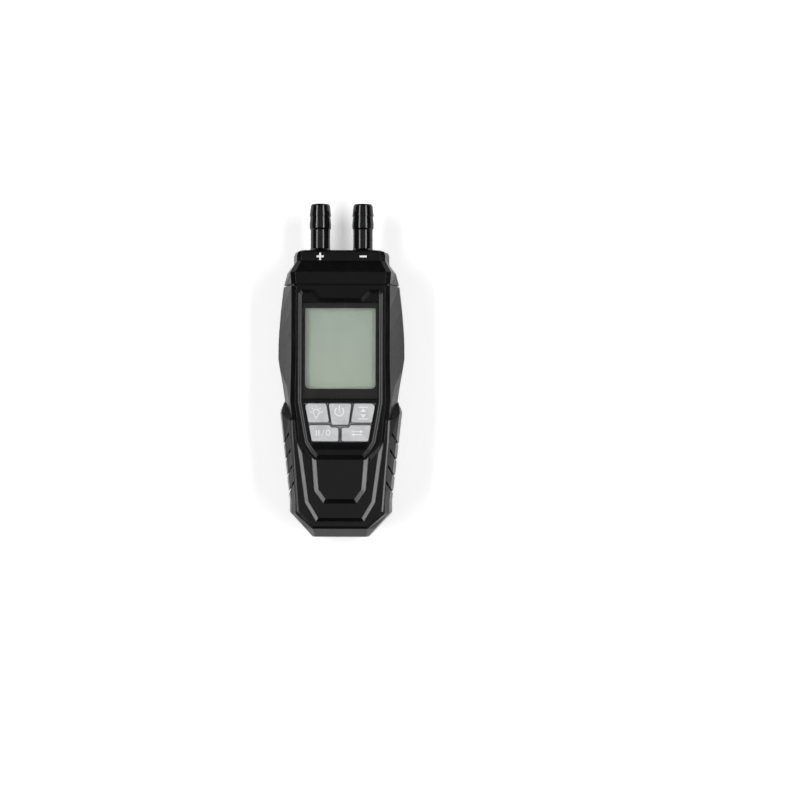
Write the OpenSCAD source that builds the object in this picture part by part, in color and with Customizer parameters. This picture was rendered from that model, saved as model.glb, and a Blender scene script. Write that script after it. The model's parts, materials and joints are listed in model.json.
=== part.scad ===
// Handheld differential pressure meter with two hose nozzles, display, five keys and a grip boot.
// Millimetres. It lies on its back: +Z comes out of the front, +Y points to the nozzles.

/* [Case] */
// Width of the case at its widest place
body_w = 57.2; // [56:0.2:64]
// Depth from the back to the front face beside the panel
body_d = 30.5; // [29.5:0.5:36]
// Height of the parting plane between the shells
parting_z = 15; // [14.6:0.2:17]
// Wall of the shells
wall = 2; // [1.6:0.1:2.4]
// Distance from the back at which the case reaches its full width
back_round = 5; // [3:0.5:6]

/* [Panel] */
// Width of the panel beside the lens
panel_side = 2; // [1.8:0.1:2.6]
// Height of the panel over the front face
panel_rise = 2.5; // [2.3:0.1:3.5]
// Width of the step along the edge of the panel
panel_step = 0.9; // [0.8:0.1:1]
// Length of the bare strip between the keys and the end of the panel
strip_h = 7.1; // [6:0.1:9]
// Length of the panel over the lens, with its trapezoid notch
head_h = 5.8; // [5:0.2:8]
// Gap between the panel and the seam of the top cap
seam_gap = 2; // [1.6:0.2:4]

/* [Display] */
// Width of the lens
lens_w = 33.8; // [31:0.2:36]
// Length of the lens
lens_h = 42.8; // [42:0.2:50]
// Thickness of the lens
lens_t = 1.2; // [0.8:0.1:1.4]
// Width of the dark border beside the window
window_side = 1.25; // [1:0.05:3]
// Width of the dark border over the window
window_head = 2.4; // [1:0.1:5]
// Width of the dark border under the window
window_rise = 4.5; // [4:0.5:6]

/* [Keys] */
// Width of the panel beside the key field, at its top
field_side = 2.6; // [2.4:0.1:3.6]
// How far each side of the key field comes in towards its bottom
field_taper = 3.4; // [2:0.1:3.8]
// Length of the key field
field_h = 17.9; // [17:0.1:20]
// Gap between the two keys of the lower row
key_gap = 1.4; // [1:0.1:1.8]
// Gap between the two rows of keys
row_gap = 1; // [0.9:0.1:1.4]
// Gap between the power key and the keys beside it
power_gap = 1.1; // [1:0.1:1.6]
// Height of the keys over the panel
key_rise = 1; // [0.8:0.1:1.2]
// Travel of a key
key_travel = 1; // [0.6:0.1:1]

/* [Grip boot] */
// Thickness of the boot on the sides
boot_t = 2.2; // [1.8:0.1:2.6]
// Thickness of the boot on the front
boot_front_t = 1.5; // [1.2:0.1:2]
// Length of the boot below the panel
shield_len = 35.5; // [34:0.1:42]
// Width of the flat end of the boot
foot_w = 26.4; // [22:0.2:28]
// Depth of the grip grooves
groove_depth = 1.3; // [0.8:0.1:1.5]
// Length of the case from one grip groove to the next
groove_pitch = 7.2; // [6.4:0.1:8]

/* [Top cap] */
// Length of the shoulder
shoulder_len = 6.1; // [5:0.1:9]
// Length of the slope between shoulder and nozzle block
slope_len = 5.2; // [4:0.1:7]
// Length of the nozzle block
block_len = 4.8; // [4.5:0.1:8]
// Width of the nozzle block
block_w = 43.2; // [40:0.2:46]
// Height of the middle of the nozzles
port_z = 17; // [16:0.2:18]
// Depth of the nozzle block
block_d = 18; // [15:0.5:18]

/* [Nozzles] */
// Distance between the two nozzles
port_pitch = 19.3; // [17:0.1:22]
// Diameter of the plain part of a nozzle
stem_d = 8.8; // [7.8:0.1:8.8]
// Diameter over the hose barbs
barb_d = 9.7; // [9.4:0.1:10]
// Diameter of the bore
bore_d = 4.8; // [4:0.1:5.2]
// Length of a nozzle outside the cap
port_len = 21.3; // [19:0.1:26]

/* [Battery] */
// Diameter of a cell
cell_d = 10.5; // [10.2:0.1:10.7]
// Length of a cell with its button
cell_len = 44.5; // [42:0.5:45]
// Thickness of the battery door
door_t = 1.8; // [1.4:0.1:2.2]

/* [Boards] */
// Thickness of the circuit board
board_t = 1.6; // [1:0.1:1.8]
// Height of the board's top below the top of the panel
board_drop = 7.6; // [7.4:0.1:8.2]

/* [Hidden] */
$fn = 48;
// How far a cut runs past the face that it opens
over = 0.5;
// Clearance between pieces that are laid in a pocket
slip = 0.15;
// Clearance round pieces that move
run = 0.3;

// Widths and heights
half_w = body_w / 2;
panel_w = lens_w + 2 * panel_side;
window_w = lens_w - 2 * window_side;
window_h = lens_h - window_head - window_rise;
field_w = panel_w - 2 * field_side;
field_foot_w = field_w - 2 * field_taper;
panel_z = body_d + panel_rise;
boot_drop = 0.6;
boot_front_z = body_d - boot_drop;
core_low_z = boot_front_z - boot_front_t;
board_z = panel_z - board_drop;
board_low_z = board_z - board_t;
key_top_z = panel_z + key_rise;

// Places along the length, from the foot upwards
tongue_y = shield_len;
field_y = tongue_y + strip_h;
field_top_y = field_y + field_h;
lens_gap = 1.5;
lens_y = field_top_y + lens_gap;
lens_top_y = lens_y + lens_h;
panel_top_y = lens_top_y + head_h;
seam_y = panel_top_y + seam_gap;
shoulder_y = seam_y + shoulder_len;
slope_y = shoulder_y + slope_len;
face_y = slope_y + block_len;
total_len = face_y + port_len;
window_y = lens_y + window_rise;
window_top_y = window_y + window_h;

// Half outline of a section turned into a closed ring
function mirrored(half) = concat(
    half,
    [for (i = [len(half) - 1 : -1 : 0]) if (half[i][0] > 0) [-half[i][0], half[i][1]]]
);

// Unit normal on the left of the edge from a to b
function edge_normal(a, b) = let (d = b - a) [-d[1], d[0]] / norm(d);

// Outline moved inwards by d, for points that run anticlockwise
function inset(points, d) = let (n = len(points)) [
    for (i = [0 : n - 1])
        let (
            before = edge_normal(points[(i + n - 1) % n], points[i]),
            after = edge_normal(points[i], points[(i + 1) % n])
        )
        points[i] + (before + after) * d / (1 + before * after)
];

// Outline with its corners rounded by arcs of radius r, or of one radius for each corner
function rounded(points, r, steps = 4) = let (n = len(points)) [
    for (i = [0 : n - 1])
        let (
            radius = is_list(r) ? r[i] : r,
            a = points[(i + n - 1) % n],
            b = points[i],
            c = points[(i + 1) % n],
            u = (a - b) / norm(a - b),
            v = (c - b) / norm(c - b),
            half_angle = acos(u * v) / 2,
            middle = b + (u + v) / norm(u + v) * radius / sin(half_angle),
            from = b + u * radius / tan(half_angle) - middle,
            to = b + v * radius / tan(half_angle) - middle,
            start = atan2(from[1], from[0]),
            turn = atan2(from[0] * to[1] - from[1] * to[0], from * to)
        )
        for (k = [0 : steps])
            middle + radius * [cos(start + turn * k / steps), sin(start + turn * k / steps)]
];

// Solid through a list of rings that all have the same number of points
module skin(rings) {
    count = len(rings[0]);
    last = len(rings) - 1;
    points = [for (ring = rings) each ring];
    walls = [
        for (k = [0 : last - 1])
            for (i = [0 : count - 1])
                let (j = (i + 1) % count)
                each [
                    [k * count + i, (k + 1) * count + j, k * count + j],
                    [k * count + i, (k + 1) * count + i, (k + 1) * count + j]
                ]
    ];
    first_cap = [[for (i = [0 : count - 1]) i]];
    last_cap = [[for (i = [count - 1 : -1 : 0]) last * count + i]];
    polyhedron(points, concat(walls, first_cap, last_cap));
}

// Plate with an outline that may change with height: levels are [height, inset] pairs
module plate(outline, levels) {
    skin([for (level = levels) [for (p = inset(outline, level[1])) [p[0], p[1], level[0]]]]);
}

// Straight plate from one height to another
module slab(outline, low, high) {
    translate([0, 0, low]) linear_extrude(high - low) polygon(outline);
}

// Round bar from one point of the Y axis to another
module bar_y(x, z, from, to, r) {
    translate([x, from, z]) rotate([-90, 0, 0]) cylinder(h = to - from, r = r);
}

// Box given by its low and high corners
module block(low, high) {
    translate(low) cube(high - low);
}

// The part stands with the middle of its length on the origin
module placed() {
    translate([0, -total_len / 2, 0]) children();
}

tuck_share = 0.2;

// Half outline of the case at one station. The flank runs from the belt to the crease,
// and a steep facet may cut it short below the given share of its length.
function section_half(w, low, high, tuck, crease, edge, flank, share) = [
    [w - tuck[0], low],
    [w - tuck[0] * tuck_share, low + tuck[1]],
    [w, parting_z],
    [flank, parting_z] * (1 - share) + crease * share,
    crease,
    [edge, high]
];

// Outline of the panel, with the trapezoid notch at its top
panel_corner = 1.6;
notch_half = 12.6;
notch_foot_half = 9;
notch_lip = 2;
strip_half = 10.7;
strip_side_rise = 3.5;
strip_side_out = 0.7;
panel_margin = 2.9;
panel_outline = mirrored([
    [strip_half, tongue_y],
    [field_foot_w / 2 + strip_side_out, tongue_y + strip_side_rise],
    [field_foot_w / 2 + panel_margin, field_y],
    [panel_w / 2, field_top_y],
    [panel_w / 2, panel_top_y - panel_corner],
    [panel_w / 2 - panel_corner, panel_top_y],
    [notch_half, panel_top_y],
    [notch_foot_half, lens_top_y + notch_lip]
]);

// Outline of the end of the case that the boot leaves free below the keys
tongue_half = 11.2;
tongue_ledge = 2.5;
ledge_y = field_y + boot_drop;
tongue_outline = mirrored([
    [tongue_half, tongue_y],
    [field_foot_w / 2 + panel_margin + tongue_ledge, ledge_y],
    [field_foot_w / 2 + panel_margin + tongue_ledge - over, ledge_y + over]
]);

// Stations of the case above the boot: share of the way from the key field to the seam,
// share of the half width, share of the flank's line, share of the cut facet,
// and the ledge by the panel as a share of the panel's step
upper_shares = [
    [0.015, 0.895, 0.98, 0.9, 1.44],
    [0.143, 0.928, 0.99, 0.66, 1.33],
    [0.272, 0.971, 1, 0.16, 1.11],
    [0.375, 1, 1, 0.1, 1],
    [0.5, 0.998, 0.998, 0.1, 1],
    [0.612, 0.988, 0.988, 0.1, 1],
    [0.787, 0.962, 0.962, 0.1, 1],
    [1, 0.918, 0.918, 0.1, 1]
];
crease_out = 2.2;
crease_drop = 1.2;
back_tuck = [back_round, 4.5];
low_tuck = [1.2, 2];
boot_tuck = [2.4, 4];

function upper_half(row) =
    let (edge = panel_w / 2 + row[4] * panel_step)
    section_half(
        half_w * row[1], 0, body_d, back_tuck,
        [edge + crease_out, body_d - crease_drop], edge, half_w * row[2], row[3]
    );

// The boot's outside: share of the way from the foot to its horns, share of the half width
// and width of the rim
horn_y = field_top_y;
boot_chamfer = 10.8;
chamfer_share = 0.41;
boot_shares = [
    [0.27, 0.811, 0.115],
    [0.46, 0.857, 0.131],
    [0.71, 0.917, 0.148],
    [0.92, 0.966, 0.175],
    [0.95, 0.95, 0.175],
    [1, 0.903, 0.175]
];
rim_drop = 0.7;
rim_z = boot_front_z - rim_drop;
rim_side_z = rim_z - 4;
function boot_half(y) = half_w * lookup(y / horn_y, [for (row = boot_shares) [row[0], row[1]]]);
function boot_rim(y) = half_w * lookup(y / horn_y, [for (row = boot_shares) [row[0], row[2]]]);

// Section of the case under the boot
core_edge_in = 3.6;
core_crease = [1.8, 2];
core_share = 0.35;
function core_half(w, low = 0, drop = 0) = section_half(
    w, low, core_low_z - drop, low_tuck, [w - core_crease[0], core_low_z - drop - core_crease[1]],
    w - core_edge_in, w, core_share
);
core_foot = [3, 7];

// Section of the case beside the keys, where the boot leaves its flank free
neck_share = 0.9;
neck_place_share = 0.56;
function neck_half(y, edge) = section_half(
    boot_half(y) - boot_t, 0, body_d, low_tuck, [edge + crease_out, body_d - crease_drop],
    edge, half_w, neck_share
);

// Stations of the case, with everything moved inwards by t
rim_y = 4;
neck_y = field_y + neck_place_share * field_h;
foot_edge = field_foot_w / 2 + panel_margin + tongue_ledge;
function core_at(y) = core_half(boot_half(y) - boot_t);
function case_stations(t, last) = concat(
    [
        [boot_t + t, core_half(
            foot_w / 2 - (boot_t + t) * chamfer_share + t, core_foot[0], core_foot[1]
        )],
        [rim_y + boot_t / 2 + t / 2, core_half(
            foot_w / 2 + rim_y - 2 * boot_t * chamfer_share + t / 2
        )],
        [boot_chamfer + (boot_t + t) * chamfer_share, core_at(boot_chamfer)]
    ],
    [for (row = boot_shares) let (y = row[0] * horn_y) if (y < field_y) [y, core_at(y)]],
    [
        [field_y + t / 4, core_at(field_y)],
        [ledge_y + t, neck_half(ledge_y, foot_edge)],
        [neck_y, neck_half(neck_y, (foot_edge + panel_w / 2 + upper_shares[0][4] * panel_step) / 2)]
    ],
    [for (row = upper_shares) [field_top_y + row[0] * (seam_y - field_top_y), upper_half(row)]],
    last > 0 ? [[seam_y + last, upper_half(upper_shares[len(upper_shares) - 1])]] : []
);

// Solid through stations of half outlines, moved inwards by t
module loft(stations, t = 0) {
    skin([
        for (station = stations)
            let (ring = inset(mirrored(station[1]), t), n = len(ring))
            [for (i = [n - 1 : -1 : 0]) [ring[i][0], station[0], ring[i][1]]]
    ]);
}

// Whole case as one block, without its panel
module case_block() {
    loft(case_stations(0, 0));
    slab(tongue_outline, core_low_z - over, body_d);
}

// Space inside the shells
module case_space() {
    loft(case_stations(wall, over), wall);
}

// Raised panel in two tiers. Each tier's edge eases over in a steep facet and a shallow one:
// depth below the tier's top and distance from its wall
panel_tier = 1;
tier_ease = [[0.42, 0], [0.2, 0.16], [0, 0.73]];
module panel_block() {
    plate(panel_outline, concat(
        [[body_d - over, 0]],
        [for (p = tier_ease) [panel_z - panel_tier - p[0], p[1]]],
        [[panel_z - panel_tier, panel_step]],
        [for (p = tier_ease) [panel_z - p[0], panel_step + p[1]]]
    ));
}

// Rectangle with round corners, given by its half width and its ends
function field(w, low, high, r) = rounded([[w, low], [w, high], [-w, high], [-w, low]], r);

// Display stack, from the lens down to the board
lens_sink = 0.2;
mask_t = 0.2;
gasket_t = 0.3;
ledge_t = 1.6;
ledge_out = 0.3;
lens_r = 1;
window_low_r = 2;
window_high_r = 0.5;
lens_z = panel_z - lens_sink - lens_t;
mask_z = lens_z - mask_t;
seat_z = mask_z - gasket_t;
ledge_z = seat_z - ledge_t;
lens_outline = field(lens_w / 2, lens_y, lens_top_y, lens_r);
window_outline = field(
    window_w / 2, window_y, window_top_y, [window_low_r, window_high_r, window_high_r, window_low_r]
);
glass_over = 1.3;
glass_foot = 3.1;
glass_head = 0.8;
glass_t = 1.8;
glass_gap = 0.1;
glass_top_z = ledge_z - glass_gap;
glass_low_y = window_y - glass_foot;
glass_outline = field(window_w / 2 + glass_over, glass_low_y, window_top_y + glass_head, over);
frame_wall = 0.9;
frame_outline = inset(glass_outline, -frame_wall - slip);
frame_lip = 0.3;

// Posts and screws: the case is held by four screws from the back, the board by four from below
head_post_share = 0.594;
head_post_drop = 6;
head_post_x = half_w * head_post_share;
foot_post_y = 11;
foot_post_in = 6.2;
foot_post_x = boot_half(foot_post_y) - boot_t - foot_post_in;
post_r = 3;
board_post_gap = 0.6;
board_neck_half = head_post_x - post_r - board_post_gap;
case_posts = [
    [head_post_x, seam_y - head_post_drop], [-head_post_x, seam_y - head_post_drop],
    [foot_post_x, foot_post_y], [-foot_post_x, foot_post_y]
];
screw_r = 1.4;
screw_head_r = 2.2;
screw_head_h = 1.8;
screw_sink = 0.9;
screw_fit = 0.05;
screw_end_gap = 1;
screw_tip_z = core_low_z - wall - screw_end_gap;
function post_top(post) = post[1] > field_y ? ledge_z + over / 2 : core_low_z - wall + over;
board_head_in = 2.6;
board_head_drop = 6.1;
board_head_x = board_neck_half - board_head_in;
board_foot_post = [12, 3];
board_post_r = 1.9;
board_posts = [
    [board_head_x, seam_y - board_head_drop],
    [-board_head_x, seam_y - board_head_drop],
    [board_foot_post[0], tongue_y + board_foot_post[1]],
    [-board_foot_post[0], tongue_y + board_foot_post[1]]
];
board_screw_r = 0.9;
board_head_r = 1.8;
board_head_h = 1.2;
board_screw_run = 2.2;
board_screw_tip_z = board_z + board_screw_run;
function board_post_top(post) = post[1] > field_y ? ledge_z + over : core_low_z - over / 2;

// Keys: a power key in the middle, a larger key on each side of it and two below
edge_gap = 0.5;
row_share = 0.465;
row_y = field_y + row_share * field_h;
power_half = 5.1;
power_foot_half = 3.7;
power_drop = 0.5;
power_r = 0.9;
upper_r = [0.9, 0.6, 1.6, 0.7];
lower_r = [0.8, 0.8, 0.8, 0.8, 0.5, 0.8];
lower_step = [1, 1.1];
key_low_y = field_y + edge_gap;
key_high_y = field_top_y - edge_gap;
upper_row_y = row_y + row_gap / 2;
lower_row_y = row_y - row_gap / 2;
function side(y) =
    field_foot_w / 2 - edge_gap + (field_w - field_foot_w) / 2 * (y - field_y) / field_h;
field_outline = mirrored([[field_foot_w / 2, field_y], [field_w / 2, field_top_y]]);
power_outline = rounded([
    [-power_foot_half, row_y - power_drop],
    [power_foot_half, row_y - power_drop],
    [power_half, key_high_y],
    [-power_half, key_high_y]
], power_r);
upper_outline = rounded([
    [power_foot_half + power_gap, upper_row_y],
    [side(upper_row_y), upper_row_y],
    [side(key_high_y), key_high_y],
    [power_half + power_gap, key_high_y]
], upper_r);
step_high = [power_foot_half + power_gap, lower_row_y];
step_low = step_high - lower_step;
lower_outline = rounded([
    [key_gap / 2, key_low_y],
    [side(key_low_y), key_low_y],
    [side(lower_row_y), lower_row_y],
    step_high,
    step_low,
    [key_gap / 2, step_low[1]]
], lower_r);
lower_centre = [side(key_low_y) / 2 + key_gap / 2, (key_low_y + lower_row_y) / 2];
// The same outline as two convex pieces
lower_outer = rounded([
    step_low - lower_step,
    [step_low[0] - lower_step[0], key_low_y],
    [side(key_low_y), key_low_y],
    [side(lower_row_y), lower_row_y],
    step_high
], lower_r[0]);
lower_inner = rounded([
    [key_gap / 2, key_low_y],
    [lower_centre[0], key_low_y],
    [lower_centre[0], step_low[1]],
    [key_gap / 2, step_low[1]]
], lower_r[0]);
upper_shift = 0.4;
upper_centre = [
    (power_foot_half + power_half + 2 * power_gap) / 4 + side(row_y) / 2 + upper_shift,
    (upper_row_y + key_high_y) / 2
];
power_centre = [0, (row_y + key_high_y) / 2];
key_base_gap = 0.1;
sheet_t = 1.1;
sheet_out = 1.1;
pocket_room = 0.5;
sheet_gap = 0.2;
sheet_top_z = ledge_z - sheet_gap;
key_low_z = sheet_top_z + key_travel + key_base_gap;
rib_drop = 0.6;
rib_z = panel_z - rib_drop;
plunger_r = 1.9;
plunger_gap = 0.4;
dome_gap = 0.1;
dome_top_z = sheet_top_z - sheet_t - dome_gap;
dome_r = 3.4;
dome_neck_r = 2.2;
dome_base_t = 0.5;
dome_foot_w = 1;
dome_wall = 0.35;
pill_r = 1.7;
pill_gap = 0.1;

// Battery bay: three cells side by side, open to the back under the door
bay_y = 17.5;
bay_wall = 1.5;
cell_gap = 0.3;
cells = 3;
bay_half = cells * cell_d / 2 + (cells - 1) * cell_gap;
spring_space = 4.3;
plate_space = 1.2;
bay_top_y = bay_y + spring_space + cell_len + plate_space;
door_sink = 0.3;
door_z = door_sink + door_t;
cell_z = door_z + cell_gap + cell_d / 2;
bay_z = cell_z + cell_d / 2 + cell_gap;
button_d = 3.8;
button_h = 0.8;
cell_round = 0.4;
cell_pitch = cell_d + cell_gap;
leg_w = 2.4;
leg_t = 0.4;
leg_places = [[-cell_pitch, bay_top_y - leg_t / 2], [cell_pitch, bay_y + leg_t / 2]];

// Door with a round hinge barrel at the foot end and a tongue at the other
door_lap = 1.2;
door_half = bay_half + door_lap;
hinge_out = 2.3;
hinge_y = bay_y - hinge_out;
barrel_r = 1.2;
hinge_z = door_sink + barrel_r;
pin_r = 0.7;
pin_len = 1.2;
hinge_fit = 0.06;
door_end_y = bay_top_y + door_lap;
tongue_w = 9;
tongue_len = 1.4;
tongue_t = 0.8;
hinge_bar = [4.2, 4.2];
finger_r = 5;
finger_deep = 0.5;

// Top cap with its block for the nozzles
cap_tuck = [3, 3];
cap_wall = 3;
cap_round = 2.2;
cap_side_in = 1.8;
cap_side_drop = 1;
cap_edge_in = 3.8;
cap_share = 0.3;
shoulder_share = 0.86;
shoulder_drop = 0.4;
shoulder_edge_in = 1.3;
shoulder_cut_share = 0.1;
spigot_len = 3;
spigot_t = 0.8;
seam_line = 0.7;
seam_deep = 1.4;
block_half = block_w / 2;
block_low_z = port_z - block_d / 2;
block_high_z = port_z + block_d / 2;
function block_section(w, drop) = section_half(
    w, block_low_z + drop, block_high_z - drop, cap_tuck,
    [w - cap_side_in, block_high_z - cap_side_drop - drop], w - cap_edge_in, w, cap_share
);
seam_half = upper_half(upper_shares[len(upper_shares) - 1]);
shoulder_edge = block_half - shoulder_edge_in;
shoulder_z = body_d - shoulder_drop;
shoulder_half = section_half(
    half_w * shoulder_share, 0, shoulder_z, back_tuck,
    [shoulder_edge + crease_out, shoulder_z - crease_drop], shoulder_edge,
    half_w * shoulder_share, shoulder_cut_share
);

// Waist on the slope: from there on the flank is no wider than the block
waist_share = 0.7;
waist_out = 0.1;
waist_half = [
    for (p = shoulder_half + (block_section(block_half, 0) - shoulder_half) * waist_share)
        [min(p[0], block_half + waist_out), p[1]]
];

// Rounded end of the block as shares of its radius: distance from the face, inwards, and drop
cap_end_shares = [[1, 0, 0], [0.3, 0.29, 0.05], [0, 1, 0.23]];
function cap_stations(t) = concat(
    [
        [seam_y - (t > 0 ? over : 0), seam_half],
        [shoulder_y, shoulder_half],
        [shoulder_y + waist_share * slope_len - t / 2, waist_half],
        [slope_y - t / 2, block_section(block_half, 0)]
    ],
    t > 0
        ? [[face_y - cap_wall, block_section(block_half, 0)]]
        : [for (p = cap_end_shares * cap_round) [face_y - p[0], block_section(block_half - p[1], p[2])]]
);

// Nozzle: distances from the face of the cap, radii along them
stem_r = stem_d / 2;
barb_r = barb_d / 2;
bore_r = bore_d / 2;
land_drop = 0.1;
land_r = (stem_r + barb_r) / 2 - land_drop;
tip_in = 0.7;
tip_ease = 0.1;
flare = [0.8, 1.2];
tip_round = 1.2;
barb_land = 1.8;
barb_rise = 0.9;
barb_fall = 3.5;
barb_step = 0.3;
tip_fall = 4;
root_r = stem_r + flare[0];
root_fit = 0.05;
nozzle_flange = [1.3, 2.4];
seal_t = 0.5;
stub_r = 1.6;
stub_bore_r = 1;
stub_len = 6;
tip_y = port_len;
first_barb_y = tip_y - tip_round - tip_fall;
second_land_y = first_barb_y - barb_step - barb_fall;
port_x = port_pitch / 2;

// Pressure sensor under the board, with a tube from each of its ports to a nozzle
sensor_size = [17, 11, 10];
sensor_gap = 2.4;
sensor_port_x = 4.6;
sensor_port_r = 1.6;
sensor_port_len = 5.5;
sensor_port_deep = 2;
sensor_top_y = seam_y - board_head_drop - board_head_r - sensor_gap;
tube_r = 2.7;
tube_fit = 0.12;
tube_sides = 10;
tube_steps = 8;

// Case and shells
module front_shell() {
    color("#26272a") placed() difference() {
        union() {
            difference() {
                union() {
                    case_block();
                    panel_block();
                }
                block([-body_w, -over, -over], [body_w, seam_y + over, parting_z]);
                case_space();
                slab(inset(panel_outline, panel_step + wall), core_low_z - wall, ledge_z);
            }
            intersection() {
                case_block();
                for (post = case_posts) translate([post[0], post[1], parting_z])
                    cylinder(h = post_top(post) - parting_z, r = post_r);
            }
            for (post = board_posts) translate([post[0], post[1], board_z])
                cylinder(h = board_post_top(post) - board_z, r = board_post_r);
        }
        slab(inset(lens_outline, -slip), seat_z, panel_z + over);
        slab(inset(window_outline, -ledge_out), ledge_z - over, seat_z + over);
        slab(inset(frame_outline, -slip), board_z, ledge_z);
        slab(inset(field_outline, -sheet_out - pocket_room), board_z, ledge_z);
        slab(field_outline, ledge_z - over, panel_z + over);
        thumb_scoop();
        for (post = case_posts) translate([post[0], post[1], parting_z - over])
            cylinder(h = screw_tip_z - parting_z + 2 * over, r = screw_r + screw_fit);
        for (post = board_posts) translate([post[0], post[1], board_z - over])
            cylinder(h = board_screw_tip_z - board_z + 2 * over, r = board_screw_r + screw_fit);
    }
}

// Thumb scoop below the keys: it is deepest at the key field and runs out towards the foot
scoop_half = 12.6;
scoop_h = 3.2;
scoop_in = 1;
scoop_deep = 1.3;
module thumb_scoop() {
    high = field_y + over / 2;
    low = field_y - scoop_h;
    top = panel_z + over;
    polyhedron([
        [-scoop_half, high, panel_z - scoop_deep], [scoop_half, high, panel_z - scoop_deep],
        [scoop_half, high, top], [-scoop_half, high, top],
        [-scoop_half + scoop_in, low, panel_z], [scoop_half - scoop_in, low, panel_z],
        [scoop_half - scoop_in, low, top], [-scoop_half + scoop_in, low, top]
    ], [
        [0, 1, 2, 3], [7, 6, 5, 4], [0, 4, 5, 1], [3, 2, 6, 7], [1, 5, 6, 2], [0, 3, 7, 4]
    ]);
}

module back_shell() {
    color("#232427") placed() difference() {
        union() {
            difference() {
                case_block();
                block([-body_w, -over, parting_z], [body_w, seam_y + over, body_d + over]);
                difference() {
                    case_space();
                    block(
                        [-bay_half - bay_wall, bay_y - bay_wall, -over],
                        [bay_half + bay_wall, bay_top_y + bay_wall, bay_z + bay_wall]
                    );
                    block(
                        [-body_w, bay_y - hinge_bar[0], -over],
                        [body_w, bay_y, hinge_bar[1]]
                    );
                }
            }
            for (post = case_posts) translate([post[0], post[1], over])
                cylinder(h = parting_z - over, r = post_r);
        }
        bay_cut();
        hinge_cut();
        for (post = case_posts) translate([post[0], post[1], -over]) {
            cylinder(h = screw_sink + screw_head_h + over, r = screw_head_r + slip);
            cylinder(h = parting_z + 2 * over, r = screw_r + slip);
        }
    }
}

// Room for the cells, the door and the contact legs
module bay_cut() {
    block([-bay_half, bay_y, -over], [bay_half, bay_top_y, bay_z]);
    block([-door_half - run, hinge_y, -over], [door_half + run, door_end_y + run, door_z + slip]);
    block(
        [-tongue_w / 2 - run, door_end_y, -over],
        [tongue_w / 2 + run, door_end_y + tongue_len + run, door_z + slip]
    );
    for (place = leg_places) block(
        [place[0] - leg_w / 2 - slip, place[1] - leg_t - slip, bay_z - over],
        [place[0] + leg_w / 2 + slip, place[1] + leg_t + slip, bay_z + bay_wall + over]
    );
}

// Trough for the hinge barrel and holes for its pins
module hinge_cut() {
    bar_x(door_half + run, barrel_r + run);
    bar_x(door_half + pin_len + run, pin_r + hinge_fit);
    block(
        [-door_half - run, hinge_y - barrel_r - run, -over],
        [door_half + run, hinge_y + barrel_r + run, hinge_z]
    );
}

// Round bar along the hinge axis
module bar_x(half, r) {
    translate([-half, hinge_y, hinge_z]) rotate([0, 90, 0]) cylinder(h = 2 * half, r = r);
}

module top_cap() {
    color("#222326") placed() difference() {
        union() {
            difference() {
                loft(cap_stations(0));
                loft(cap_stations(wall), wall);
            }
            loft([[seam_y - spigot_len, seam_half], [seam_y + spigot_len, seam_half]], wall + slip);
            loft([[seam_y, seam_half], [seam_y + spigot_len, seam_half]], wall - over / 2);
        }
        loft([
            [seam_y - spigot_len - over, seam_half], [seam_y + spigot_len + over, seam_half]
        ], wall + slip + spigot_t);
        difference() {
            loft([[seam_y - over, seam_half], [seam_y + seam_line, seam_half]], -over);
            loft([[seam_y - 2 * over, seam_half], [seam_y + 2 * seam_line, seam_half]], seam_deep);
        }
        for (x = [-port_x, port_x])
            bar_y(x, port_z, face_y - cap_wall - over, face_y + over, root_r + root_fit);
    }
}

// Profile of a nozzle turned round the Y axis
module nozzle(x) {
    flange_y = -cap_wall - seal_t;
    stub_y = flange_y - nozzle_flange[1];
    color("#131416") placed() translate([x, face_y, port_z])
        rotate([-90, 0, 0]) rotate_extrude() polygon([
        [bore_r, tip_y],
        [land_r - tip_in, tip_y],
        [stem_r - tip_ease, tip_y - tip_round / 2],
        [stem_r, tip_y - tip_round],
        [barb_r, first_barb_y],
        [barb_r, first_barb_y - barb_step],
        [land_r, first_barb_y - barb_step],
        [barb_r, second_land_y],
        [barb_r, second_land_y - barb_land],
        [stem_r, second_land_y - barb_land - barb_rise],
        [stem_r, flare[1]],
        [root_r, 0],
        [root_r, flange_y],
        [root_r + nozzle_flange[0], flange_y],
        [root_r + nozzle_flange[0], stub_y],
        [stub_r, stub_y],
        [stub_r, stub_y - stub_len],
        [stub_bore_r, stub_y - stub_len],
        [stub_bore_r, -cap_wall],
        [bore_r, -cap_wall]
    ]);
}
module nozzle_plus() { nozzle(-port_x); }
module nozzle_minus() { nozzle(port_x); }

// Flat seals between the nozzles' flanges and the cap
module nozzle_seals() {
    color("#3a3a3c") placed() for (x = [-port_x, port_x]) difference() {
        bar_y(x, port_z, face_y - cap_wall - seal_t, face_y - cap_wall, root_r + nozzle_flange[0]);
        bar_y(x, port_z, face_y - cap_wall - seal_t - over, face_y, root_r + root_fit);
    }
}

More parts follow.
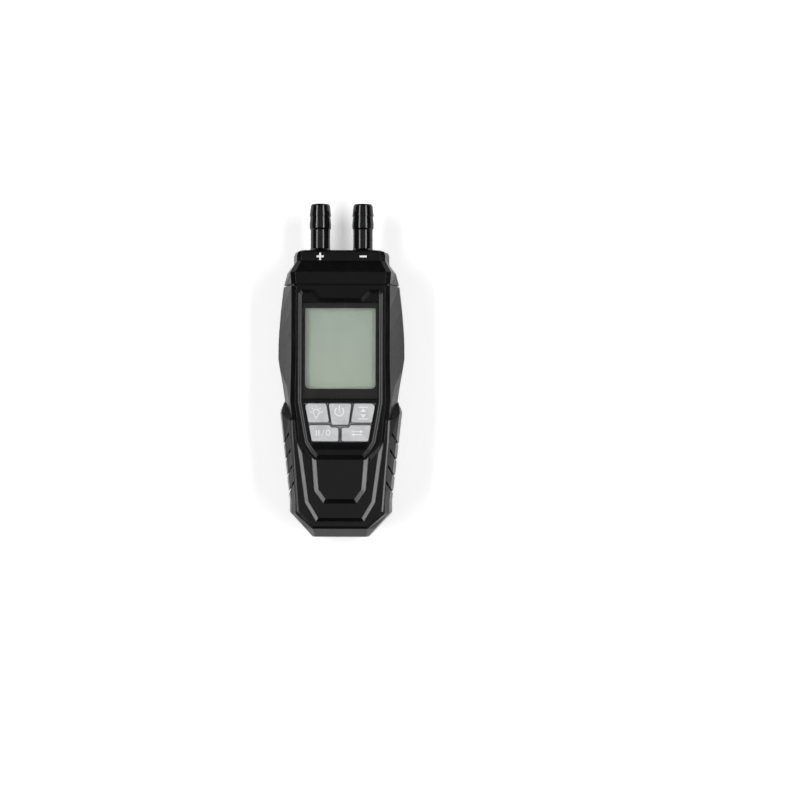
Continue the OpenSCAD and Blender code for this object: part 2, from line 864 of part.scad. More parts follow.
// Grip boot round the lower half
boot_low = [3, 6.2];
boot_low_crease = [0.6, 2];
boot_low_edge_in = 1.8;
boot_share = 0.4;
rim_edge_in = 4.6;
side_in = 1.2;
function boot_section(y) = section_half(
    boot_half(y), 0, rim_z, boot_tuck, [boot_half(y) - side_in, rim_side_z],
    boot_half(y) - boot_rim(y), boot_half(y), boot_share
);
function rim_half(w) = section_half(
    w, 0, rim_z, boot_tuck, [w - side_in, rim_side_z], w - rim_edge_in, w, boot_share
);
boot_low_high = rim_z - boot_low[1];
boot_stations = concat(
    [
        [0, section_half(
            foot_w / 2, boot_low[0], boot_low_high, boot_tuck,
            [foot_w / 2 - boot_low_crease[0], boot_low_high - boot_low_crease[1]],
            foot_w / 2 - boot_low_edge_in, foot_w / 2, boot_share
        )],
        [rim_y, rim_half(foot_w / 2 + (boot_half(boot_chamfer) - foot_w / 2) * rim_y / boot_chamfer)],
        [boot_chamfer, boot_section(boot_chamfer)]
    ],
    [for (row = boot_shares) [row[0] * horn_y, boot_section(row[0] * horn_y)]]
);
rim_inner = 0.2;
front_foot_in = 0.9;
front_side_in = 0.6;
front_lift = 0.8;
front_share = 0.95;
front_slope = [0.35, 0.9];
front_outline = mirrored(concat(
    [
        [foot_w / 2 - front_foot_in, rim_y + rim_inner],
        [boot_half(boot_chamfer) - boot_rim(boot_chamfer) - front_side_in, boot_chamfer + front_lift]
    ],
    [for (row = boot_shares) if (row[0] < front_share)
        [boot_half(row[0] * horn_y) - boot_rim(row[0] * horn_y) - rim_inner, row[0] * horn_y]]
));

// The shield on the boot's front has two tiers, given as shares of its width and its length.
// Each tier has a wall that ends in a shallow slope: height and width of the slope
tier_rise = 1.6;
tier_z = [boot_front_z + tier_rise, panel_z];
tier_gap = 0.5;
tier_low_slope = [0.6, 1.7];
tier_high_slope = [0.7, 2];
shield_w = 28;
tier_low_shares = [[0.38, 0.206], [0.56, 0.445]];
tier_high_shares = [[0.264, 0.437], [0.41, 0.596]];
tier_top_shares = [0.69, 0.457];
tier_low_outline = mirrored(concat(
    [for (p = tier_low_shares) [p[0] * shield_w, p[1] * shield_len]],
    [[tier_top_shares[0] * shield_w, field_y], [tongue_half + boot_drop, tongue_y]]
));
tier_high_outline = mirrored(concat(
    [for (p = tier_high_shares) [p[0] * shield_w, p[1] * shield_len]],
    [[tier_top_shares[1] * shield_w, tongue_y + tier_gap + tier_high_slope[1]]]
));
horn_cut = [8, 14];
groove_w = 1.3;
groove_run = 6.9;
groove_in = 3.6;
groove_low_z = 5;
groove_top_drop = 6.8;
grooves = 4;

module grip_boot() {
    color("#2b2b2d") placed() difference() {
        union() {
            loft(boot_stations);
            plate(front_outline, [
                [rim_z - over, 0], [boot_front_z - front_slope[0], 0], [boot_front_z, front_slope[1]]
            ]);
            difference() {
                union() {
                    plate(tier_low_outline, [
                        [boot_front_z - over, 0],
                        [tier_z[0] - tier_low_slope[0], 0],
                        [tier_z[0], tier_low_slope[1]]
                    ]);
                    plate(tier_high_outline, [
                        [tier_z[0] - over, 0],
                        [tier_z[1] - tier_high_slope[0], 0],
                        [tier_z[1], tier_high_slope[1]]
                    ]);
                }
                slab(inset(tongue_outline, -tier_gap), boot_front_z, panel_z + over);
            }
        }
        case_block();
        panel_block();
        block([-body_w, -over, -2 * over], [body_w, horn_y + over, 0]);
        horns();
        difference() {
            groove_slots();
            loft(boot_stations, groove_depth);
        }
    }
}

// The boot's upper end slopes back from the sides to the front
module horns() {
    rotate([90, 0, 90]) translate([0, 0, -body_w]) linear_extrude(2 * body_w) polygon([
        [horn_y, parting_z],
        [horn_y - horn_cut[0], parting_z + horn_cut[1]],
        [horn_y - horn_cut[0], panel_z + over],
        [horn_y + horn_cut[0], panel_z + over],
        [horn_y + horn_cut[0], parting_z]
    ]);
}

module groove_slots() {
    for (i = [0 : grooves - 1]) {
        high = neck_y - groove_top_drop - i * groove_pitch;
        w = boot_half(high);
        for (flip = [0, 1]) mirror([flip, 0, 0]) slab([
            [w - groove_in, high],
            [w + over, high - groove_run],
            [w + over, high - groove_run + groove_w],
            [w - groove_in, high + groove_w]
        ], groove_low_z, boot_front_z);
    }
}

// Display
lens_edge = 0.15;
module display_lens() {
    color("#3c403c") placed() plate(lens_outline, [
        [lens_z, 0], [lens_z + lens_t - lens_edge, 0], [lens_z + lens_t, lens_edge]
    ]);
}

module lens_mask() {
    color("#1c1e1b") placed() difference() {
        slab(lens_outline, mask_z, lens_z);
        slab(window_outline, mask_z - over, lens_z + over);
    }
}

module lens_gasket() {
    color("#111111") placed() difference() {
        slab(lens_outline, seat_z, mask_z);
        slab(inset(window_outline, -ledge_out), seat_z - over, mask_z + over);
    }
}

module lcd_glass() {
    color("#9faaa0") placed() slab(glass_outline, glass_top_z - glass_t, glass_top_z);
}

// Frame that stands on the board and holds the glass
module lcd_frame() {
    color("#e8e8e4") placed() difference() {
        slab(frame_outline, board_z, glass_top_z - frame_lip);
        slab(inset(glass_outline, -slip), board_z - over, panel_z);
    }
}

// Light guide under the glass
strip_w = 1.6;
strip_room = 2.4;
strip_in = 1;
strip_gap = 0.3;
led_size = [1.6, 3.2, 1.4];
module backlight_panel() {
    color("#f4f6f2") placed() block(
        [-window_w / 2, glass_low_y + strip_room + strip_w / 2, board_z],
        [window_w / 2 - led_size[0], window_top_y, glass_top_z - glass_t]
    );
}

// Rubber strip that joins the glass to the board
module contact_strips() {
    color("#d8c9a8") placed() block(
        [-window_w / 2 + strip_in, glass_low_y + strip_gap, board_z],
        [window_w / 2 - strip_in, glass_low_y + strip_gap + strip_w, glass_top_z - glass_t]
    );
}

// Main board
board_side = 1.6;
board_foot_side = 2;
board_foot_gap = 0.9;
board_head_gap = 3.8;
board_shoulder = [1, 4];
board_half = lens_w / 2 + board_side;
board_foot_half = field_foot_w / 2 + board_foot_side;
board_foot_y = tongue_y + board_foot_gap;
board_head_y = seam_y - board_head_gap;
board_neck_y = seam_y - head_post_drop - post_r - board_post_gap;
module main_pcb() {
    color("#1f6b3a") placed() difference() {
        slab(mirrored([
            [board_foot_half, board_foot_y],
            [board_foot_half, field_y - board_shoulder[0]],
            [board_half, field_y + board_shoulder[1]],
            [board_half, board_neck_y],
            [board_neck_half, board_neck_y],
            [board_neck_half, board_head_y]
        ]), board_low_z, board_z);
        for (post = board_posts) translate([post[0], post[1], board_low_z - over])
            cylinder(h = board_t + 2 * over, r = board_screw_r + slip);
    }
}

// Chips on the underside of the board, given by their middle and size
leg_lift = 0.2;
leg_reach = 0.8;
leg_root = 0.3;
leg_pitch = 1.25;
module chip(middle, size, lift = 0) {
    block(
        [middle[0] - size[0] / 2, middle[1] - size[1] / 2, board_low_z - size[2]],
        [middle[0] + size[0] / 2, middle[1] + size[1] / 2, board_low_z - lift]
    );
}
module chip_legs(middle, size) {
    legs = floor(size[1] / leg_pitch);
    for (i = [0 : legs - 1]) for (flip = [-1, 1]) {
        x = middle[0] + flip * (size[0] / 2 + leg_reach / 2);
        y = middle[1] + (i - (legs - 1) / 2) * size[1] / legs;
        block(
            [x - leg_reach / 2 - leg_root, y - leg_root / 2, board_low_z - leg_lift - leg_root],
            [x + leg_reach / 2 + leg_root, y + leg_root / 2, board_low_z]
        );
    }
}
chip_size = [10, 10, 1.6];
chip_share = 0.35;
chip_y = window_y + chip_share * window_h;
module microcontroller() {
    color("#18191b") placed() {
        chip([0, chip_y], chip_size, leg_lift);
        chip_legs([0, chip_y], chip_size);
    }
}
crystal_size = [3.2, 8, 2.6];
crystal_gap = 3.1;
module clock_crystal() {
    color("#c9ccd0") placed() chip(
        [-chip_size[0] / 2 - crystal_gap - crystal_size[0] / 2, chip_y], crystal_size
    );
}
regulator_size = [6.5, 3.5, 1.7];
regulator_in = 7.5;
regulator_lift = 9;
module voltage_regulator() {
    middle = [board_half - regulator_in, chip_y + regulator_lift];
    color("#1b1c1e") placed() {
        chip(middle, regulator_size, leg_lift);
        chip_legs(middle, regulator_size);
    }
}
capacitor_r = 2;
capacitor_h = 5;
capacitor_share = 0.08;
capacitor_y = window_y + capacitor_share * window_h;
module capacitors() {
    color("#8b8f96") placed() for (x = [-chip_size[0] / 2, chip_size[0] / 2])
        translate([x, capacitor_y, board_low_z - capacitor_h]) cylinder(h = capacitor_h, r = capacitor_r);
}
module backlight_led() {
    color("#f3e9a8") placed() block(
        [window_w / 2 - led_size[0] + slip, window_y + window_h / 2 - led_size[1] / 2, board_z],
        [window_w / 2, window_y + window_h / 2 + led_size[1] / 2, board_z + led_size[2]]
    );
}

// Pressure sensor with two ports
sensor_y = sensor_top_y - sensor_size[1];
module pressure_sensor() {
    color("#e6e3da") placed() difference() {
        union() {
            block(
                [-sensor_size[0] / 2, sensor_y, board_low_z - sensor_size[2]],
                [sensor_size[0] / 2, sensor_top_y, board_low_z]
            );
            for (x = [-sensor_port_x, sensor_port_x])
                bar_y(x, port_z, sensor_top_y - over, sensor_top_y + sensor_port_len, sensor_port_r);
        }
        for (x = [-sensor_port_x, sensor_port_x])
            bar_y(
                x, port_z, sensor_top_y - sensor_port_deep, sensor_top_y + sensor_port_len + over,
                sensor_port_r / 2
            );
    }
}

// Soft tube that eases sideways from a sensor port to a nozzle
stub_top_y = face_y - cap_wall - seal_t - nozzle_flange[1];
stub_end_y = stub_top_y - stub_len;
tube_low_y = sensor_top_y + run;
tube_high_y = stub_top_y - run;
function tube_place(s) =
    let (
        low = sensor_top_y + sensor_port_len,
        t = min(max((s - low) / (stub_end_y - low), 0), 1)
    )
    sensor_port_x + (port_x - sensor_port_x) * (1 - cos(180 * t)) / 2;
function tube_ring(s, r) = [
    for (i = [tube_sides - 1 : -1 : 0])
        [tube_place(s) + r * cos(360 * i / tube_sides), s, port_z + r * sin(360 * i / tube_sides)]
];
function tube_runs(from, to) =
    let (low = sensor_top_y + sensor_port_len)
    concat([from], [for (k = [0 : tube_steps]) low + (stub_end_y - low) * k / tube_steps], [to]);
module sensor_tube(flip) {
    inner_r = (stub_r + tube_fit) / cos(180 / tube_sides);
    color("#d9d9d2") placed() mirror([flip, 0, 0]) difference() {
        skin([for (s = tube_runs(tube_low_y, tube_high_y)) tube_ring(s, tube_r)]);
        skin([for (s = tube_runs(tube_low_y - over, tube_high_y + over)) tube_ring(s, inner_r)]);
    }
}
module sensor_tube_plus() { sensor_tube(1); }
module sensor_tube_minus() { sensor_tube(0); }

// Silicone keypad: a sheet with a rim on the board, and ribs that show between the keys
module keypad_mat() {
    color("#8f9194") placed() difference() {
        union() {
            slab(inset(field_outline, -sheet_out), board_z, sheet_top_z);
            slab(inset(field_outline, edge_gap), sheet_top_z - over, rib_z);
        }
        slab(inset(field_outline, -sheet_out / 3), board_z - over, sheet_top_z - sheet_t);
        each_key() {
            slab(inset(power_outline, -run), sheet_top_z, panel_z + over);
            slab(inset(upper_outline, -run), sheet_top_z, panel_z + over);
            slab(inset(lower_outline, -run), sheet_top_z, panel_z + over);
        }
        for (place = key_places) translate([place[0], place[1], board_z])
            cylinder(h = sheet_top_z + over - board_z, r = plunger_r + plunger_gap);
    }
}
key_places = [
    power_centre, upper_centre, lower_centre,
    [-upper_centre[0], upper_centre[1]], [-lower_centre[0], lower_centre[1]]
];
module each_key() {
    children(0);
    for (flip = [0, 1]) mirror([flip, 0, 0]) {
        children(1);
        children(2);
    }
}

// Key cap with a bevelled top, on a round plunger
key_bevel = 0.4;
module key_cap(outlines, centre) {
    color("#b4b5b7") placed() {
        for (outline = outlines) plate(outline, [
            [key_low_z, 0], [key_top_z - key_bevel, 0], [key_top_z - key_bevel / 3, key_bevel / 3],
            [key_top_z, key_bevel]
        ]);
        translate([centre[0], centre[1], dome_top_z])
            cylinder(h = key_low_z - dome_top_z + over, r = plunger_r);
    }
}
module key_power() { key_cap([power_outline], power_centre); }
module key_max_min() { key_cap([upper_outline], upper_centre); }
module key_units() { key_cap([lower_inner, lower_outer], lower_centre); }
module key_lamp() { mirror([1, 0, 0]) key_max_min(); }
module key_hold_zero() { mirror([1, 0, 0]) key_units(); }

// Rubber dome under a key, and the carbon pill inside it
module dome(centre) {
    top = dome_top_z - board_z;
    color("#d5d6d2") placed() translate([centre[0], centre[1], board_z]) rotate_extrude() polygon([
        [dome_r - dome_foot_w, 0],
        [dome_r, 0],
        [dome_r, dome_base_t],
        [dome_neck_r + dome_wall, dome_base_t + dome_wall],
        [dome_neck_r, top],
        [0, top],
        [0, top - dome_wall],
        [dome_neck_r - dome_wall, top - dome_wall],
        [dome_neck_r, dome_base_t],
        [dome_r - dome_foot_w, dome_base_t / 2]
    ]);
}
module dome_power() { dome(power_centre); }
module dome_max_min() { dome(upper_centre); }
module dome_units() { dome(lower_centre); }
module dome_lamp() { mirror([1, 0, 0]) dome_max_min(); }
module dome_hold_zero() { mirror([1, 0, 0]) dome_units(); }

module pill(centre) {
    color("#202022") placed() translate([centre[0], centre[1], board_z + key_travel + pill_gap])
        cylinder(h = dome_top_z - dome_wall - board_z - key_travel - pill_gap, r = pill_r);
}
module pill_power() { pill(power_centre); }
module pill_max_min() { pill(upper_centre); }
module pill_units() { pill(lower_centre); }
module pill_lamp() { mirror([1, 0, 0]) pill_max_min(); }
module pill_hold_zero() { mirror([1, 0, 0]) pill_units(); }

// Battery cells: each one has its button at one end, and the middle one lies the other way
module cell(index) {
    low = bay_y + (index == 0 ? plate_space : spring_space);
    x = index * (cell_d + cell_gap);
    color("#2d3550") placed() translate([x, low + (index == 0 ? cell_len : 0), cell_z])
        rotate([index == 0 ? 90 : -90, 0, 0]) rotate_extrude() polygon([
            [0, 0],
            [cell_d / 2 - cell_round, 0],
            [cell_d / 2, cell_round],
            [cell_d / 2, cell_len - button_h - cell_round],
            [cell_d / 2 - cell_round, cell_len - button_h],
            [button_d / 2, cell_len - button_h],
            [button_d / 2, cell_len],
            [0, cell_len]
        ]);
}
module cell_left() { cell(-1); }
module cell_middle() { cell(0); }
module cell_right() { cell(1); }

// Contact springs press on the flat ends, contact plates on the buttons
spring_turns = 3;
spring_wire = 0.7;
spring_r = 3.2;
spring_tip_r = 2.2;
spring_share = 0.6;
contact_w = 8;
contact_h = 8;
module contact(x, y) {
    block(
        [x - contact_w / 2, y, cell_z - contact_h / 2],
        [x + contact_w / 2, y + leg_t, cell_z + contact_h / 2]
    );
}
function spring_edge(k) =
    spring_r + (spring_tip_r - spring_r) * k / (2 * spring_turns) - (k % 2) * spring_share * spring_wire;
module contact_spring(x, y, turn) {
    length = spring_space - leg_t;
    translate([x, y, cell_z]) rotate([turn, 0, 0]) rotate_extrude() polygon(concat(
        [for (k = [0 : 2 * spring_turns]) [spring_edge(k), length * k / (2 * spring_turns)]],
        [for (k = [2 * spring_turns : -1 : 0])
            [spring_edge(k) - spring_wire, length * k / (2 * spring_turns)]]
    ));
}
module battery_springs() {
    color("#c8ccd0") placed() {
        for (x = [-cell_pitch, cell_pitch]) {
            contact(x, bay_y);
            contact_spring(x, bay_y + leg_t, -90);
        }
        contact(0, bay_top_y - leg_t);
        contact_spring(0, bay_top_y - leg_t, 90);
    }
}

// Plates on the buttons, and the leg that reaches the board
module battery_plates() {
    color("#c8ccd0") placed() {
        for (x = [-cell_pitch, cell_pitch]) button_plate(x, bay_top_y - plate_space, bay_top_y);
        button_plate(0, bay_y, bay_y + plate_space);
        block(
            [-cell_pitch - leg_w / 2, bay_top_y - leg_t, cell_z],
            [-cell_pitch + leg_w / 2, bay_top_y, board_low_z]
        );
    }
}
module button_plate(x, from, to) {
    block(
        [x - contact_w / 4, from, cell_z - contact_h / 4],
        [x + contact_w / 4, to, cell_z + contact_h / 4]
    );
}

// Strip that brings the far contact over the bay to the board
lead_rise = 0.3;
lead_reach = 6;
lead_y = board_foot_y + lead_reach;
module battery_lead() {
    low = bay_z + bay_wall + lead_rise;
    color("#c8ccd0") placed() {
        block(
            [cell_pitch - leg_w / 2, bay_y, cell_z + contact_h / 2],
            [cell_pitch + leg_w / 2, bay_y + leg_t, low + leg_t]
        );
        block([cell_pitch - leg_w / 2, bay_y, low], [cell_pitch + leg_w / 2, lead_y, low + leg_t]);
        block(
            [cell_pitch - leg_w / 2, lead_y - leg_t, low],
            [cell_pitch + leg_w / 2, lead_y, board_low_z]
        );
    }
}

// Battery door
module battery_door() {
    color("#232427") placed() difference() {
        union() {
            block([-door_half, hinge_y, door_sink], [door_half, door_end_y, door_z]);
            block(
                [-tongue_w / 2, door_end_y - over, door_z - tongue_t],
                [tongue_w / 2, door_end_y + tongue_len, door_z]
            );
            bar_x(door_half, barrel_r);
            bar_x(door_half + pin_len, pin_r);
        }
        translate([0, door_end_y - 2 * finger_r, door_sink - over])
            cylinder(h = finger_deep + over, r = finger_r);
    }
}

// Screws with a cross slot, whose arms are given as shares of the head's radius
slot_shares = [0.6, 0.12];
module screw(head_r, head_h, r, length) {
    difference() {
        union() {
            cylinder(h = head_h, r = head_r);
            cylinder(h = length, r = r);
        }
        for (turn = [0, 90]) rotate([0, 0, turn]) block(
            [-head_r * slot_shares[0], -head_r * slot_shares[1], -over],
            [head_r * slot_shares[0], head_r * slot_shares[1], head_h / 2]
        );
    }
}
module case_screws() {
    color("#3a3b3d") placed() for (post = case_posts) translate([post[0], post[1], screw_sink])
        screw(screw_head_r, screw_head_h, screw_r, screw_tip_z - screw_sink);
}
module pcb_screws() {
    low = board_low_z - board_head_h;
    color("#9a9ca0") placed() for (post = board_posts) translate([post[0], post[1], low])
        screw(board_head_r, board_head_h, board_screw_r, board_screw_tip_z - low);
}

front_shell();
back_shell();
top_cap();
grip_boot();
display_lens();
lens_mask();
lens_gasket();
lcd_glass();
lcd_frame();
backlight_panel();
contact_strips();
main_pcb();
microcontroller();
clock_crystal();
capacitors();
voltage_regulator();
backlight_led();
pressure_sensor();
nozzle_plus();
nozzle_minus();
nozzle_seals();
sensor_tube_plus();
sensor_tube_minus();
keypad_mat();
key_lamp();
key_power();
key_max_min();
key_hold_zero();
key_units();
dome_lamp();
dome_power();
dome_max_min();
dome_hold_zero();
dome_units();
pill_lamp();
pill_power();
pill_max_min();
pill_hold_zero();
pill_units();
cell_left();
cell_middle();
cell_right();
battery_springs();
battery_plates();
battery_lead();
battery_door();
case_screws();
pcb_screws();
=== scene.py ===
"""Looks of a handheld digital manometer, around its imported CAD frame."""
import json
import math

import bmesh
import bpy
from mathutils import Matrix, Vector
from mathutils.bvhtree import BVHTree

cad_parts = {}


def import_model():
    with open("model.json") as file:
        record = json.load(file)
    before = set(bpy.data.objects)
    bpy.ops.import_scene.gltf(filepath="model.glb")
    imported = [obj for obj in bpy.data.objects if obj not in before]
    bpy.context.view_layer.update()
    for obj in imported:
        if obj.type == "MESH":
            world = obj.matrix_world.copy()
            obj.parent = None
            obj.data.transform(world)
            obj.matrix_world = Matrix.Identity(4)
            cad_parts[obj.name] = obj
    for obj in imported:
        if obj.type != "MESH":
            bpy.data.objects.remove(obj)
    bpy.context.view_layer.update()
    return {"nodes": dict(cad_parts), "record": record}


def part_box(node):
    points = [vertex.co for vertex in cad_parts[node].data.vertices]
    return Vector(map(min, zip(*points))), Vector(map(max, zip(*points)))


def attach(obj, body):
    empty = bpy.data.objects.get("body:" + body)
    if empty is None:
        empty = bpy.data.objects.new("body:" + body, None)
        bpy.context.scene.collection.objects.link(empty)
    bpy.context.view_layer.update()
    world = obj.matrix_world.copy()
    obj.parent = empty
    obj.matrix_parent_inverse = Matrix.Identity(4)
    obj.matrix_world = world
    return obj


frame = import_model()
MM = 0.001
NODE_SLOT = {row["node"]: row["material_slot"] for row in frame["record"]["subparts"]}


# ---------------------------------------------------------------- shader helpers
def srgb(r, g, b):
    """Linear colour of an 8-bit screen colour."""
    def linear(v):
        v /= 255
        return v / 12.92 if v <= 0.04045 else ((v + 0.055) / 1.055) ** 2.4
    return (linear(r), linear(g), linear(b), 1.0)


def scaled(colour, k):
    return (colour[0] * k, colour[1] * k, colour[2] * k, 1.0)


EDGE_SAMPLES = 6
EDGE_BENT = 0.8
EDGE_FLAT = 0.995
UPRIGHT_Z = 0.6
LEVEL_Z = 0.85
DUST = srgb(150, 150, 148)


class Shader:
    """A material under construction, with short names for the nodes used here."""

    def __init__(self, name):
        self.mat = bpy.data.materials.new(name)
        self.mat.use_nodes = True
        self.tree = self.mat.node_tree
        self.tree.nodes.clear()
        self.out = self.node("ShaderNodeOutputMaterial")
        self.place = self.node("ShaderNodeTexCoord").outputs["Object"]

    def node(self, kind, **values):
        made = self.tree.nodes.new(kind)
        for key, value in values.items():
            setattr(made, key, value)
        return made

    def link(self, a, b):
        self.tree.links.new(a, b)

    def noise(self, size, detail=2.0, rough=0.5, stretch=None):
        """Noise with features of about the given size in metres."""
        made = self.node("ShaderNodeTexNoise")
        made.inputs["Scale"].default_value = 1 / size
        made.inputs["Detail"].default_value = detail
        made.inputs["Roughness"].default_value = rough
        place = self.place
        if stretch:
            mapping = self.node("ShaderNodeMapping")
            mapping.inputs["Scale"].default_value = stretch
            self.link(place, mapping.inputs["Vector"])
            place = mapping.outputs["Vector"]
        self.link(place, made.inputs["Vector"])
        return made.outputs["Fac"]

    def cells(self, size):
        """Distance to the nearest of scattered points, about the given size apart."""
        made = self.node("ShaderNodeTexVoronoi", feature="F1")
        made.inputs["Scale"].default_value = 1 / size
        self.link(self.place, made.inputs["Vector"])
        return made.outputs["Distance"]

    def spread(self, value, low, high, to_low, to_high):
        made = self.node("ShaderNodeMapRange", clamp=True)
        self.link(value, made.inputs["Value"])
        for key, number in (("From Min", low), ("From Max", high), ("To Min", to_low), ("To Max", to_high)):
            made.inputs[key].default_value = number
        return made.outputs["Result"]

    def math(self, operation, a, b):
        made = self.node("ShaderNodeMath", operation=operation)
        for socket, value in zip(made.inputs, (a, b)):
            if isinstance(value, (int, float)):
                socket.default_value = value
            else:
                self.link(value, socket)
        return made.outputs[0]

    def mix(self, share, a, b):
        """Colour between a and b."""
        made = self.node("ShaderNodeMix", data_type="RGBA")
        self.link(share, made.inputs["Factor"])
        for socket, value in ((made.inputs[6], a), (made.inputs[7], b)):
            if isinstance(value, tuple):
                socket.default_value = value
            else:
                self.link(value, socket)
        return made.outputs[2]

    def bump(self, height, depth, normal=None):
        made = self.node("ShaderNodeBump")
        made.inputs["Strength"].default_value = 1.0
        made.inputs["Distance"].default_value = depth
        self.link(height, made.inputs["Height"])
        if normal is not None:
            self.link(normal, made.inputs["Normal"])
        return made.outputs["Normal"]

    def edge(self, radius):
        """Rounded normal, and how near a surface point lies to a sharp edge, 0 to 1."""
        bevel = self.node("ShaderNodeBevel", samples=EDGE_SAMPLES)
        bevel.inputs["Radius"].default_value = radius
        dot = self.node("ShaderNodeVectorMath", operation="DOT_PRODUCT")
        self.link(bevel.outputs["Normal"], dot.inputs[0])
        self.link(self.node("ShaderNodeNewGeometry").outputs["Normal"], dot.inputs[1])
        return bevel.outputs["Normal"], self.spread(dot.outputs["Value"], EDGE_FLAT, EDGE_BENT, 0.0, 1.0)

    def facing(self):
        """Whether a surface faces straight up or down in the part's own frame, 0 to 1."""
        split = self.node("ShaderNodeSeparateXYZ")
        self.link(self.node("ShaderNodeTexCoord").outputs["Normal"], split.inputs[0])
        steep = self.math("ABSOLUTE", split.outputs["Z"], 0)
        return self.spread(steep, UPRIGHT_Z, LEVEL_Z, 0.0, 1.0)

    def along(self, axis):
        """Object coordinate along one axis, in metres."""
        split = self.node("ShaderNodeSeparateXYZ")
        self.link(self.place, split.inputs[0])
        return split.outputs[axis]

    def principled(self, **values):
        made = self.node("ShaderNodeBsdfPrincipled")
        for key, value in values.items():
            socket = made.inputs[key.replace("_", " ")]
            if isinstance(value, bpy.types.NodeSocket):
                self.link(value, socket)
            else:
                socket.default_value = value
        return made

    def finish(self, surface):
        self.link(surface.outputs[0], self.out.inputs["Surface"])
        return self.mat


def moulded(name, colour, rough, grain, depth, edge=0.25 * MM, worn=1.6, patch=9 * MM, shine=0.5,
            dust=0.0, flank=0.0):
    """Moulded plastic or rubber: eroded grain, soft patches of colour and gloss, rubbed edges.
    Upright faces can have a duller texture, given as extra roughness."""
    s = Shader(name)
    normal, near = s.edge(edge)
    fine = s.noise(grain, 3.0, 0.6)
    pits = s.cells(grain * 2.2)
    cloud = s.noise(patch, 3.0, 0.55)
    height = s.math("ADD", fine, s.math("MULTIPLY", pits, 0.6))
    tint = s.mix(s.spread(cloud, 0.3, 0.7, 0.0, 1.0), scaled(colour, 0.88), scaled(colour, 1.12))
    tint = s.mix(s.spread(fine, 0.55, 0.8, 0.0, 0.35), tint, scaled(colour, 1.5))
    rub = s.math("MULTIPLY", near, s.spread(s.noise(2.2 * MM, 2.0), 0.35, 0.7, 0.2, 0.8))
    tint = s.mix(rub, tint, scaled(colour, worn))
    if dust:
        specks = s.spread(s.noise(1.4 * MM, 6.0, 0.75), 0.66, 0.78, 0.0, dust)
        tint = s.mix(specks, tint, DUST)
    patchy = s.spread(cloud, 0.3, 0.7, rough - 0.04, rough + 0.05)
    gloss = s.math("ADD", patchy, s.spread(fine, 0.3, 0.7, -0.05, 0.05))
    gloss = s.math("SUBTRACT", gloss, s.math("MULTIPLY", rub, 0.1))
    if flank:
        gloss = s.math("ADD", gloss, s.spread(s.facing(), 0.0, 1.0, flank, 0.0))
    surface = s.principled(Base_Color=tint, Roughness=gloss, Specular_IOR_Level=shine,
                           Normal=s.bump(height, depth, normal))
    return s.finish(surface)


def glossy_plastic(name, colour, rough, shine=0.5, ripple=0.006 * MM, edge=0.15 * MM):
    """Polished moulding: fine hairline marks and a faint flow ripple."""
    s = Shader(name)
    normal, near = s.edge(edge)
    hair = s.noise(0.25 * MM, 2.0, 0.6, (0.2, 2.5, 1.0))
    smear = s.noise(3 * MM, 3.0, 0.6)
    tint = s.mix(s.spread(smear, 0.3, 0.7, 0.0, 1.0), scaled(colour, 0.9), scaled(colour, 1.15))
    tint = s.mix(s.math("MULTIPLY", near, 0.5), tint, scaled(colour, 1.6))
    smooth = s.spread(smear, 0.35, 0.7, rough, rough + 0.07)
    gloss = s.math("ADD", smooth, s.spread(hair, 0.5, 0.8, 0.0, 0.05))
    surface = s.principled(Base_Color=tint, Roughness=gloss, Specular_IOR_Level=shine,
                           Normal=s.bump(smear, ripple, normal))
    return s.finish(surface)


def rough_metal(name, colour, rough, brushed=(1.0, 1.0, 1.0)):
    """Plated or drawn metal with fine scratches and duller patches."""
    s = Shader(name)
    normal = s.edge(0.08 * MM)[0]
    scratch = s.noise(0.12 * MM, 3.0, 0.7, brushed)
    patch = s.noise(2.5 * MM, 3.0, 0.6)
    tint = s.mix(s.spread(patch, 0.3, 0.7, 0.0, 1.0), scaled(colour, 0.82), scaled(colour, 1.05))
    plated = s.spread(patch, 0.3, 0.7, rough, rough + 0.12)
    gloss = s.math("ADD", plated, s.spread(scratch, 0.4, 0.8, 0.0, 0.1))
    surface = s.principled(Base_Color=tint, Metallic=1.0, Roughness=gloss,
                           Normal=s.bump(scratch, 0.004 * MM, normal))
    return s.finish(surface)


ACRYLIC_IOR = 1.49


def clear_lens(name):
    """Hard-coated window. Light from the lamps passes straight through it."""
    s = Shader(name)
    smear = s.noise(6 * MM, 4.0, 0.6)
    hair = s.noise(0.2 * MM, 2.0, 0.5, (3.0, 0.3, 1.0))
    coat = s.spread(smear, 0.4, 0.75, 0.02, 0.06)
    gloss = s.math("ADD", coat, s.spread(hair, 0.6, 0.85, 0.0, 0.03))
    glass = s.principled(Base_Color=(0.96, 0.98, 0.96, 1.0), Roughness=gloss, IOR=ACRYLIC_IOR)
    glass.inputs["Transmission Weight"].default_value = 1.0
    through = s.node("ShaderNodeBsdfTransparent")
    through.inputs["Color"].default_value = (0.93, 0.95, 0.93, 1.0)
    both = s.node("ShaderNodeMixShader")
    s.link(s.node("ShaderNodeLightPath").outputs["Is Shadow Ray"], both.inputs[0])
    s.link(glass.outputs[0], both.inputs[1])
    s.link(through.outputs[0], both.inputs[2])
    return s.finish(both)


LCD_HALF = 15.65 * MM
LCD_LOW = -8.5 * MM
LCD_HIGH = 27.4 * MM
RIM_SIDE = 2.2 * MM
RIM_FOOT = 2 * MM
LCD_TINTS = {
    "foot": srgb(142, 148, 139),
    "head": srgb(137, 144, 137),
    "rim": srgb(166, 172, 164),
    "patch": srgb(120, 129, 120),
}


